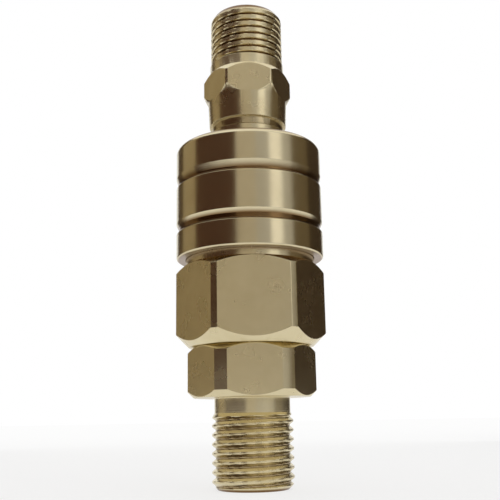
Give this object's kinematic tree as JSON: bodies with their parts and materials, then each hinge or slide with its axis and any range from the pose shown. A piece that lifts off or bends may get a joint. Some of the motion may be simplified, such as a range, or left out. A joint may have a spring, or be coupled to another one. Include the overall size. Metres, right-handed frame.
{
  "type": "liquid cooling quick coupling",
  "caption": "Two-way shut-off brass quick coupling, shown coupled, with a ball-lock sleeve, paired poppet valves and a male thread at each end.",
  "frame": {"origin": "centre of the lower port's end face", "axes": "+Z along the flow axis from the socket to the plug; +Y is normal to two flats of each hexagon"},
  "size_m": [0.0258, 0.0258, 0.0851],
  "materials": {
    "brass_turned": "turned, bare",
    "brass_sleeve": "fine turned, bare",
    "stainless": "polished",
    "spring_steel": "drawn wire",
    "seal_rubber": "satin"
  },
  "bodies": {
    "socket": {"adapter": "brass_turned", "adapter_seal": "seal_rubber", "socket_body": "brass_turned", "stop_ring": "stainless", "main_seal": "seal_rubber", "socket_valve_guide": "brass_turned", "sleeve_spring": "spring_steel", "socket_valve_spring": "spring_steel"},
    "sleeve": {"sleeve": "brass_sleeve"},
    "ball_1": {"lock_ball_1": "stainless"},
    "ball_2": {"lock_ball_2": "stainless"},
    "ball_3": {"lock_ball_3": "stainless"},
    "ball_4": {"lock_ball_4": "stainless"},
    "ball_5": {"lock_ball_5": "stainless"},
    "ball_6": {"lock_ball_6": "stainless"},
    "socket_poppet": {"socket_valve": "brass_turned", "socket_valve_seal": "seal_rubber"},
    "plug": {"plug_nose": "brass_turned", "plug_tail": "brass_turned", "tail_seal": "seal_rubber", "plug_valve_guide": "brass_turned", "plug_valve_spring": "spring_steel"},
    "plug_poppet": {"plug_valve": "brass_turned", "plug_valve_seal": "seal_rubber"}
  },
  "joints": [
    {"name": "sleeve_slide", "type": "slide", "parent": "socket", "child": "sleeve", "axis": [0, 0, -1], "range_m": [0, 0.0011], "stiffness_N_per_m": 1500, "springref_m": -0.003, "deforming": ["sleeve_spring"]},
    {"name": "ball_1_slide", "type": "slide", "parent": "socket", "child": "ball_1", "axis": [1, 0, 0], "range_m": [0, 0.0005]},
    {"name": "ball_2_slide", "type": "slide", "parent": "socket", "child": "ball_2", "axis": [0.5, 0.866, 0], "range_m": [0, 0.0005]},
    {"name": "ball_3_slide", "type": "slide", "parent": "socket", "child": "ball_3", "axis": [-0.5, 0.866, 0], "range_m": [0, 0.0005]},
    {"name": "ball_4_slide", "type": "slide", "parent": "socket", "child": "ball_4", "axis": [-1, 0, 0], "range_m": [0, 0.0005]},
    {"name": "ball_5_slide", "type": "slide", "parent": "socket", "child": "ball_5", "axis": [-0.5, -0.866, 0], "range_m": [0, 0.0005]},
    {"name": "ball_6_slide", "type": "slide", "parent": "socket", "child": "ball_6", "axis": [0.5, -0.866, 0], "range_m": [0, 0.0005]},
    {"name": "plug_swivel", "type": "hinge", "parent": "socket", "child": "plug", "pos_m": [0, 0, 0.0533], "axis": [0, 0, 1], "continuous": true},
    {"name": "socket_valve_float", "type": "slide", "parent": "socket", "child": "socket_poppet", "axis": [0, 0, 1], "range_m": [-0.0004, 0.0004], "stiffness_N_per_m": 1000, "deforming": ["socket_valve_spring"]},
    {"name": "plug_valve_float", "type": "slide", "parent": "plug", "child": "plug_poppet", "axis": [0, 0, 1], "range_m": [-0.0004, 0.0004], "deforming": ["plug_valve_spring"]}
  ],
  "couplings": [
    {"joint": "ball_1_slide", "follows": "sleeve_slide", "ratio": 0.4545},
    {"joint": "ball_2_slide", "follows": "sleeve_slide", "ratio": 0.4545},
    {"joint": "ball_3_slide", "follows": "sleeve_slide", "ratio": 0.4545},
    {"joint": "ball_4_slide", "follows": "sleeve_slide", "ratio": 0.4545},
    {"joint": "ball_5_slide", "follows": "sleeve_slide", "ratio": 0.4545},
    {"joint": "ball_6_slide", "follows": "sleeve_slide", "ratio": 0.4545},
    {"joint": "plug_valve_float", "follows": "socket_valve_float", "ratio": 1}
  ]
}
